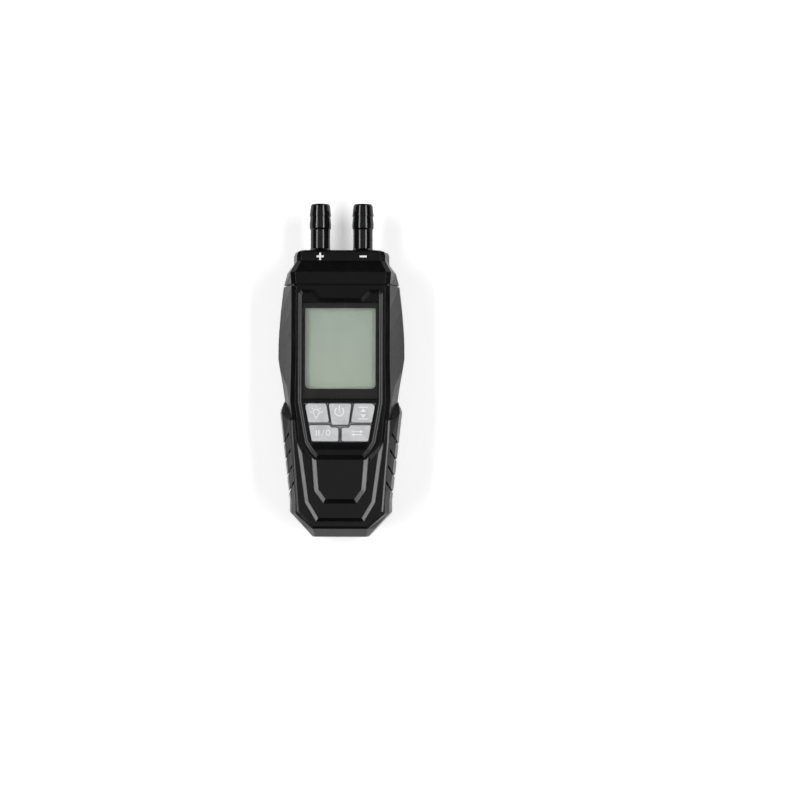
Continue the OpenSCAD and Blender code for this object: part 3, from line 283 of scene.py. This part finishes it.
def display(name):
    """Blank reflective display: grey-green, a little lighter at its rim, with faint soft patches."""
    s = Shader(name)
    across, up = s.along(0), s.along(1)
    rim_x = s.spread(s.math("ABSOLUTE", across, 0), LCD_HALF - RIM_SIDE, LCD_HALF, 0.0, 1.0)
    rim_low = s.spread(up, LCD_LOW + RIM_FOOT, LCD_LOW, 0.0, 1.0)
    rim = s.math("MAXIMUM", rim_x, rim_low)
    level = s.spread(up, LCD_LOW, LCD_HIGH, 0.0, 1.0)
    tint = s.mix(level, LCD_TINTS["foot"], LCD_TINTS["head"])
    tint = s.mix(s.math("MULTIPLY", rim, 0.35), tint, LCD_TINTS["rim"])
    cloud = s.noise(11 * MM, 2.0, 0.5)
    tint = s.mix(s.spread(cloud, 0.3, 0.7, 0.0, 0.14), tint, LCD_TINTS["patch"])
    fibre = s.noise(0.16 * MM, 2.0, 0.6)
    gloss = s.spread(fibre, 0.3, 0.7, 0.32, 0.44)
    surface = s.principled(Base_Color=tint, Roughness=gloss, Normal=s.bump(fibre, 0.004 * MM))
    surface.inputs["Specular IOR Level"].default_value = 0.3
    return s.finish(surface)


def cell_sleeve(name, low, high):
    """Shrink sleeve of a cell: dark for two thirds of its length, then bright metal ink."""
    s = Shader(name)
    up = s.along(1)
    share = s.spread(up, low, high, 0.0, 1.0)
    crinkle = s.noise(0.9 * MM, 3.0, 0.6)
    ink = s.spread(share, 0.615, 0.625, 0.0, 1.0)
    tint = s.mix(ink, srgb(28, 32, 58), srgb(196, 196, 198))
    tint = s.mix(s.spread(crinkle, 0.45, 0.8, 0.0, 0.3), tint, srgb(80, 84, 100))
    surface = s.principled(Base_Color=tint, Metallic=s.spread(ink, 0.0, 1.0, 0.1, 0.9),
                           Roughness=s.spread(crinkle, 0.3, 0.7, 0.22, 0.36),
                           Normal=s.bump(crinkle, 0.02 * MM))
    return s.finish(surface)


def circuit_board(name):
    """Green solder mask over copper tracks that show as faint raised lines."""
    s = Shader(name)
    normal, near = s.edge(0.1 * MM)
    tracks = s.node("ShaderNodeTexBrick")
    tracks.inputs["Scale"].default_value = 1 / (6 * MM)
    tracks.inputs["Mortar Size"].default_value = 0.03
    s.link(s.place, tracks.inputs["Vector"])
    weave = s.noise(0.4 * MM, 2.0)
    tint = s.mix(s.spread(weave, 0.3, 0.7, 0.0, 1.0), srgb(18, 70, 44), srgb(26, 88, 56))
    tint = s.mix(tracks.outputs["Fac"], tint, srgb(44, 118, 76))
    tint = s.mix(near, tint, srgb(150, 146, 100))
    surface = s.principled(Base_Color=tint, Roughness=s.spread(weave, 0.3, 0.7, 0.28, 0.4),
                           Normal=s.bump(tracks.outputs["Fac"], 0.02 * MM, normal))
    return s.finish(surface)


def soft_tube(name):
    """Translucent silicone tube."""
    s = Shader(name)
    cloud = s.noise(3 * MM, 3.0)
    tint = s.mix(s.spread(cloud, 0.3, 0.7, 0.0, 1.0), srgb(206, 206, 200), srgb(228, 228, 224))
    surface = s.principled(Base_Color=tint, Roughness=s.spread(cloud, 0.3, 0.7, 0.35, 0.5),
                           Normal=s.bump(cloud, 0.02 * MM))
    surface.inputs["Subsurface Weight"].default_value = 0.4
    surface.inputs["Subsurface Scale"].default_value = 0.5 * MM
    return s.finish(surface)


def print_ink(name, colour):
    """Pad-printed ink with a slightly uneven film."""
    s = Shader(name)
    film = s.noise(0.3 * MM, 3.0, 0.6)
    tint = s.mix(s.spread(film, 0.3, 0.75, 0.0, 1.0), colour, scaled(colour, 0.86))
    surface = s.principled(Base_Color=tint, Roughness=s.spread(film, 0.3, 0.7, 0.38, 0.5),
                           Normal=s.bump(film, 0.006 * MM))
    return s.finish(surface)


# ---------------------------------------------------------------- finishes of the CAD nodes
cell_low, cell_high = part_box("cell_left")

BLACK = srgb(14, 14, 15)
FLANK = 0.06
CASE = {"rough": 0.19, "grain": 0.16 * MM, "depth": 0.003 * MM, "shine": 0.25, "dust": 0.01, "flank": FLANK}


def small(name, colour, rough, grain, depth, edge, worn):
    """Moulded finish of a small piece, with sizes in millimetres."""
    return moulded(name, colour, rough, grain * MM, depth * MM, edge * MM, worn)


FINISH = {
    "shell": moulded("shell_plastic", BLACK, **CASE),
    "cap": moulded("cap_plastic", BLACK, **CASE),
    "boot": moulded("boot_rubber", srgb(12, 12, 13), 0.16, 0.2 * MM, 0.003 * MM, 0.35 * MM, 1.8,
                    shine=0.45, dust=0.01, flank=FLANK),
    "nozzle": glossy_plastic("nozzle_plastic", srgb(8, 8, 9), 0.1, 0.5),
    "lens": clear_lens("lens_clear"),
    "mask": small("mask_ink", srgb(13, 14, 11), 0.35, 0.1, 0.002, 0.05, 1.1),
    "gasket": small("gasket_foam", srgb(22, 22, 22), 0.8, 0.3, 0.05, 0.1, 1.2),
    "lcd": display("display_glass"),
    "white_plastic": small("light_box_plastic", srgb(226, 226, 222), 0.45, 0.2, 0.008, 0.1, 1.02),
    "strip": small("contact_rubber", srgb(60, 60, 62), 0.6, 0.12, 0.01, 0.1, 1.2),
    "board": circuit_board("board_mask"),
    "chip": small("chip_epoxy", srgb(34, 34, 36), 0.5, 0.1, 0.008, 0.08, 1.5),
    "can": rough_metal("can_metal", srgb(206, 206, 202), 0.25),
    "case_screw": rough_metal("screw_metal", srgb(168, 168, 166), 0.3, (1.0, 4.0, 1.0)),
    "led": small("led_resin", srgb(232, 230, 206), 0.25, 0.2, 0.004, 0.05, 1.0),
    "sensor": small("sensor_housing", srgb(208, 208, 204), 0.45, 0.16, 0.01, 0.1, 1.03),
    "tube": soft_tube("tube_silicone"),
    "keypad": small("keypad_rubber", srgb(134, 135, 138), 0.62, 0.14, 0.008, 0.12, 1.15),
    "key": moulded("key_plastic", srgb(198, 199, 200), 0.4, 0.14 * MM, 0.006 * MM, 0.14 * MM, 1.12,
                   patch=5 * MM),
    "dome": small("dome_rubber", srgb(206, 206, 200), 0.5, 0.2, 0.006, 0.1, 1.02),
    "pill": small("pill_carbon", srgb(26, 26, 27), 0.7, 0.1, 0.008, 0.05, 1.2),
    "cell": cell_sleeve("cell_sleeve", cell_low[1], cell_high[1]),
}

for node, thing in frame["nodes"].items():
    finish = FINISH[NODE_SLOT[node]]
    for slot in thing.material_slots:
        slot.material = finish


# ---------------------------------------------------------------- thin prints
FILM = 0.014 * MM
LAYER = 0.002 * MM
ROOT = 0.1 * MM
CAST_FROM = 0.1


class Ground:
    """Height of one CAD node's upper surface at a place seen from above."""

    def __init__(self, node):
        mesh = frame["nodes"][node].data
        self.tree = BVHTree.FromPolygons([v.co for v in mesh.vertices], [p.vertices for p in mesh.polygons])

    def z(self, x, y):
        hit = self.tree.ray_cast(Vector((x, y, CAST_FROM)), Vector((0, 0, -1)))[0]
        return hit.z


def ribbon(bm, ground, pairs, closed, film):
    """Closed thin solid along pairs of left and right points, lying on a surface."""
    rows = []
    for left, right in pairs:
        row = []
        for x, y in (left, right):
            z = ground.z(x, y)
            row += [bm.verts.new((x, y, z + film)), bm.verts.new((x, y, z - ROOT))]
        rows.append(row)
    count = len(rows)
    for i in range(count if closed else count - 1):
        a, b = rows[i], rows[(i + 1) % count]
        for p, q in ((0, 2), (2, 3), (3, 1), (1, 0)):
            bm.faces.new((a[p], a[q], b[q], b[p]))
    if not closed:
        bm.faces.new((rows[0][0], rows[0][1], rows[0][3], rows[0][2]))
        bm.faces.new((rows[-1][0], rows[-1][2], rows[-1][3], rows[-1][1]))


def stroke(points, width, closed=False):
    """Pairs of points on either side of a line."""
    pairs = []
    count = len(points)
    for i, (x, y) in enumerate(points):
        before = points[i - 1] if i or closed else points[i]
        after = points[(i + 1) % count] if i < count - 1 or closed else points[i]
        dx, dy = after[0] - before[0], after[1] - before[1]
        length = math.hypot(dx, dy)
        nx, ny = -dy / length * width / 2, dx / length * width / 2
        pairs.append(((x + nx, y + ny), (x - nx, y - ny)))
    return pairs


def arc(cx, cy, r, start, end, steps=28):
    return [
        (cx + r * math.cos(math.radians(start + (end - start) * i / steps)),
         cy + r * math.sin(math.radians(start + (end - start) * i / steps)))
        for i in range(steps + 1)
    ]


def ring(cx, cy, rx, ry, steps=40):
    return [(cx + rx * math.cos(2 * math.pi * i / steps), cy + ry * math.sin(2 * math.pi * i / steps))
            for i in range(steps)]


def taper(start, end, wide, narrow=0.02 * MM):
    """Solid triangle or wedge from a wide end to a narrow one."""
    dx, dy = end[0] - start[0], end[1] - start[1]
    length = math.hypot(dx, dy)
    nx, ny = -dy / length / 2, dx / length / 2
    ends = ((start, wide), (end, narrow))
    return [((x + nx * w, y + ny * w), (x - nx * w, y - ny * w)) for (x, y), w in ends]


def printed(name, node, body, shapes, ink):
    """One piece made of ribbons that lie on a node, each a little above the last.
    A shape is (pairs, closed)."""
    bm = bmesh.new()
    ground = Ground(node)
    for order, (pairs, closed) in enumerate(shapes):
        ribbon(bm, ground, pairs, closed, FILM + order * LAYER)
    bmesh.ops.recalc_face_normals(bm, faces=bm.faces)
    mesh = bpy.data.meshes.new(name)
    bm.to_mesh(mesh)
    bm.free()
    thing = bpy.data.objects.new(name, mesh)
    bpy.context.scene.collection.objects.link(thing)
    mesh.materials.append(ink)
    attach(thing, body)


def line(a, b, width):
    return stroke([a, b], width), False


def wedge(a, b, wide):
    return taper(a, b, wide), False


def scaled_to(cx, cy):
    """Places points given in millimetres from a centre given in metres."""
    return lambda x, y: (cx + x * MM, cy + y * MM)


WHITE = print_ink("white_print", srgb(246, 246, 246))


def power_symbol():
    """Open ring with an upright bar in its gap."""
    cx, cy, r = -0.3 * MM, -18.6 * MM, 1.95 * MM
    gap = 34
    width = 0.5 * MM
    return [
        (stroke(arc(cx, cy, r, 90 + gap, 450 - gap), width), False),
        line((cx, cy + 0.2 * MM), (cx, cy + 2.7 * MM), width),
    ]


def lamp_symbol():
    """Bulb with its neck, two foot bars and five rays."""
    at = scaled_to(-10.6 * MM, -18.9 * MM)
    cx, cy = at(0, 0)
    glass, base, ray = 0.38 * MM, 0.36 * MM, 0.34 * MM
    near, far = 2.0, 2.75
    bulb = [(stroke(arc(cx, cy, 1.35 * MM, -52, 232), glass), False)]
    neck = [line(at(-0.83, -1.05), at(-0.55, -1.9), glass), line(at(0.83, -1.05), at(0.55, -1.9), glass)]
    foot = [line(at(-0.75, -2.1), at(0.75, -2.1), base), line(at(-0.5, -2.75), at(0.5, -2.75), base)]
    rays = [line(at(near * math.cos(a), near * math.sin(a)), at(far * math.cos(a), far * math.sin(a)), ray)
            for a in map(math.radians, (0, 45, 90, 135, 180))]
    return bulb + neck + foot + rays


def range_symbol():
    """Two arrowheads that point at a bar above and a bar below."""
    at = scaled_to(10.3 * MM, -19.3 * MM)
    bar, head = 0.4 * MM, 2.6 * MM
    up = [line(at(-2.1, 2.55), at(2.1, 2.55), bar), wedge(at(0, 0.55), at(0, 2.1), head)]
    down = [line(at(-2.1, -2.55), at(2.1, -2.55), bar), wedge(at(0, -0.55), at(0, -2.1), head)]
    return up + down


def hold_symbol():
    """Two upright bars, a slash and a nought."""
    at = scaled_to(-7.6 * MM, -28.1 * MM)
    bars = [line(at(-2.9 + k, -1.25), at(-2.9 + k, 1.25), 0.55 * MM) for k in (0, 1.15)]
    slash = [line(at(-0.55, -1.35), at(0.55, 1.35), 0.28 * MM)]
    cx, cy = at(2.3, 0)
    zero = [(stroke(ring(cx, cy, 0.8 * MM, 1.15 * MM), 0.42 * MM, True), True)]
    return bars + slash + zero


def units_symbol():
    """Two arrows, one each way."""
    at = scaled_to(7.6 * MM, -28.1 * MM)
    shaft, head = 0.42 * MM, 1.5 * MM
    upper = [line(at(-2.3, 0.6), at(1.5, 0.6), shaft), wedge(at(1.3, 0.6), at(2.6, 0.6), head)]
    lower = [line(at(2.3, -0.75), at(-1.5, -0.75), shaft), wedge(at(-1.3, -0.75), at(-2.6, -0.75), head)]
    return upper + lower


printed("print_power", "key_power", "power_button", power_symbol(), WHITE)
printed("print_lamp", "key_lamp", "lamp_button", lamp_symbol(), WHITE)
printed("print_range", "key_max_min", "max_min_button", range_symbol(), WHITE)
printed("print_hold", "key_hold_zero", "hold_zero_button", hold_symbol(), WHITE)
printed("print_units", "key_units", "units_button", units_symbol(), WHITE)

PLUS_X = -9.35 * MM
MINUS_X = 9.95 * MM
MARK_Y = 50.85 * MM
MARK_HALF = 1.6 * MM
MARK_W = 0.85 * MM
plus = [
    line((PLUS_X - MARK_HALF, MARK_Y), (PLUS_X + MARK_HALF, MARK_Y), MARK_W),
    line((PLUS_X, MARK_Y + MARK_W / 2), (PLUS_X, MARK_Y + MARK_HALF), MARK_W),
    line((PLUS_X, MARK_Y - MARK_W / 2), (PLUS_X, MARK_Y - MARK_HALF), MARK_W),
]
minus = [line((MINUS_X - MARK_HALF, MARK_Y), (MINUS_X + MARK_HALF, MARK_Y), MARK_W)]
printed("mark_plus", "top_cap", "meter", plus, WHITE)
printed("mark_minus", "top_cap", "meter", minus, WHITE)


# ---------------------------------------------------------------- stage, light and camera
FLOOR_HALF = 4.0
FLOOR_Z = -0.02 * MM
FLOOR_GLOW = 0.45
FLOOR_MIRROR = 0.15
PAPER_DARK = (0.86, 0.86, 0.86, 1)
PAPER_PALE = (0.9, 0.9, 0.9, 1)


def floor():
    """Pale paper floor, lifted to white for the camera and towards it for mirrored rays."""
    mesh = bpy.data.meshes.new("floor")
    corners = [(-1, -1), (1, -1), (1, 1), (-1, 1)]
    mesh.from_pydata([(x * FLOOR_HALF, y * FLOOR_HALF, FLOOR_Z) for x, y in corners], [], [(0, 1, 2, 3)])
    thing = bpy.data.objects.new("floor", mesh)
    bpy.context.scene.collection.objects.link(thing)
    s = Shader("floor_paper")
    paper = s.noise(0.7 * MM, 3.0)
    diffuse = s.node("ShaderNodeBsdfDiffuse")
    s.link(s.mix(s.spread(paper, 0.3, 0.7, 0.0, 1.0), PAPER_DARK, PAPER_PALE), diffuse.inputs[0])
    path = s.node("ShaderNodeLightPath")
    seen = s.math("MULTIPLY", path.outputs["Is Camera Ray"], FLOOR_GLOW)
    mirrored = s.math("MAXIMUM", path.outputs["Is Glossy Ray"], path.outputs["Is Transmission Ray"])
    glow = s.node("ShaderNodeEmission")
    s.link(s.math("ADD", seen, s.math("MULTIPLY", mirrored, FLOOR_MIRROR)), glow.inputs["Strength"])
    both = s.node("ShaderNodeAddShader")
    s.link(diffuse.outputs[0], both.inputs[0])
    s.link(glow.outputs[0], both.inputs[1])
    mesh.materials.append(s.finish(both))


SIDE_LEVEL = 0.08
END_LEVEL = 0.02
CEILING_LEVEL = 0.45
SIDE_FROM, SIDE_TO = 0.3, 0.6
WALL_TOP, WALL_END = 0.15, 0.7
PATCH_FROM, PATCH_TO = 0.86, 0.94


def world():
    """Studio walls: pale on the left and right, dark behind and in front, a dim patch straight overhead."""
    made = bpy.data.worlds.new("studio")
    bpy.context.scene.world = made
    made.use_nodes = True
    tree = made.node_tree
    tree.nodes.clear()

    def node(kind, **values):
        fresh = tree.nodes.new(kind)
        for key, value in values.items():
            setattr(fresh, key, value)
        return fresh

    def spread(value, low, high, to_low, to_high):
        fresh = node("ShaderNodeMapRange")
        tree.links.new(value, fresh.inputs["Value"])
        for key, number in (("From Min", low), ("From Max", high), ("To Min", to_low), ("To Max", to_high)):
            fresh.inputs[key].default_value = number
        return fresh.outputs["Result"]

    def combined(operation, a, b=None):
        fresh = node("ShaderNodeMath", operation=operation)
        tree.links.new(a, fresh.inputs[0])
        if b is not None:
            tree.links.new(b, fresh.inputs[1])
        return fresh.outputs[0]

    split = node("ShaderNodeSeparateXYZ")
    tree.links.new(node("ShaderNodeTexCoord").outputs["Generated"], split.inputs[0])
    across = combined("ABSOLUTE", split.outputs["X"])
    wall = spread(across, SIDE_FROM, SIDE_TO, END_LEVEL, SIDE_LEVEL)
    height = spread(split.outputs["Z"], WALL_TOP, WALL_END, 1.0, 0.0)
    ceiling = spread(split.outputs["Z"], PATCH_FROM, PATCH_TO, 0.0, CEILING_LEVEL)
    level = combined("ADD", combined("MULTIPLY", wall, height), ceiling)
    seen = node("ShaderNodeLightPath").outputs["Is Camera Ray"]
    shade = node("ShaderNodeBackground")
    tree.links.new(combined("MAXIMUM", level, seen), shade.inputs["Strength"])
    tree.links.new(shade.outputs[0], node("ShaderNodeOutputWorld").inputs["Surface"])


BOX_POWER = 2.95
BOX_LONG = 0.8
BOX_WIDE = 0.16
BOX_X = 0.41
BOX_Z = 0.54
AIM = (0, 0, 0.015)


def softbox(name, side):
    """Long lamp beside the meter, its long side along the meter."""
    light = bpy.data.lights.new(name, "AREA")
    light.shape = "RECTANGLE"
    light.size, light.size_y = BOX_LONG, BOX_WIDE
    light.energy = BOX_POWER
    thing = bpy.data.objects.new(name, light)
    place = (side * BOX_X, 0, BOX_Z)
    thing.location = place
    thing.visible_camera = False
    thing.visible_transmission = False
    aim = Vector(AIM) - Vector(place)
    thing.rotation_euler = aim.to_track_quat("-Z", "Y").to_euler()
    bpy.context.scene.collection.objects.link(thing)


floor()
world()
softbox("left_box", -1)
softbox("right_box", 1)

# The photograph is taken from straight above its middle: 0.451 mm a pixel, the meter left of it
PIXEL = 0.451 * MM
FRAME_PX = 800
METER_PX = (341.0, 370.25)
DISTANCE = 0.9
LOOK_Z = 0.02
SENSOR_MM = 36
ROLL_DEG = 0.16
camera = bpy.data.cameras.new("camera")
camera.sensor_width = SENSOR_MM
camera.lens = camera.sensor_width * DISTANCE / (FRAME_PX * PIXEL)
viewer = bpy.data.objects.new("camera", camera)
right = (FRAME_PX / 2 - METER_PX[0]) * PIXEL
ahead = (METER_PX[1] - FRAME_PX / 2) * PIXEL
viewer.location = (right, ahead, LOOK_Z + DISTANCE)
viewer.rotation_euler = (0, 0, math.radians(ROLL_DEG))
bpy.context.scene.collection.objects.link(viewer)
bpy.context.scene.camera = viewer
bpy.context.scene.view_settings.view_transform = "Standard"
